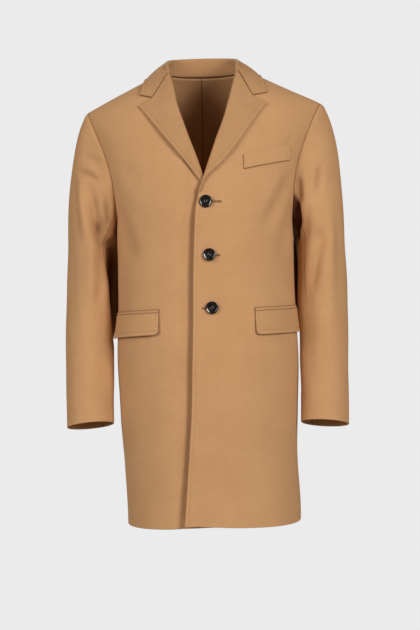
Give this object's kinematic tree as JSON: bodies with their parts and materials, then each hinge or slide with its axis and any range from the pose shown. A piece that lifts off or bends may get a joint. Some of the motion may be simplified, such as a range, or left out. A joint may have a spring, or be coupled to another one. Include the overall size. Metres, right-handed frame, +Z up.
{
  "type": "single-breasted coat",
  "caption": "Hip-to-thigh length single-breasted wool overcoat in its hollow worn form, with notch lapels, set-in sleeves, flap pockets, a welted breast pocket and a buttoned front.",
  "frame": {"origin": "between the points where the two shoulder seams meet the neck, where the wearer's shoulders and neck carry the coat", "axes": "+X to the wearer's left, +Y to the back, +Z up along the centre back seam"},
  "size_m": [0.5803, 0.2877, 0.9655],
  "materials": {
    "camel_wool": "matt milled wool melton with a short nap",
    "dark_horn": "polished dark brown horn"
  },
  "bodies": {
    "root": {"front_left": "camel_wool", "front_right": "camel_wool", "back_left": "camel_wool", "back_right": "camel_wool", "top_sleeve_left": "camel_wool", "top_sleeve_right": "camel_wool", "under_sleeve_left": "camel_wool", "under_sleeve_right": "camel_wool", "lapel_left": "camel_wool", "lapel_right": "camel_wool", "collar": "camel_wool", "flap_left": "camel_wool", "flap_right": "camel_wool", "jet_left": "camel_wool", "jet_right": "camel_wool", "breast_welt": "camel_wool", "button_top": "dark_horn", "button_middle": "dark_horn", "button_bottom": "dark_horn"}
  },
  "joints": []
}
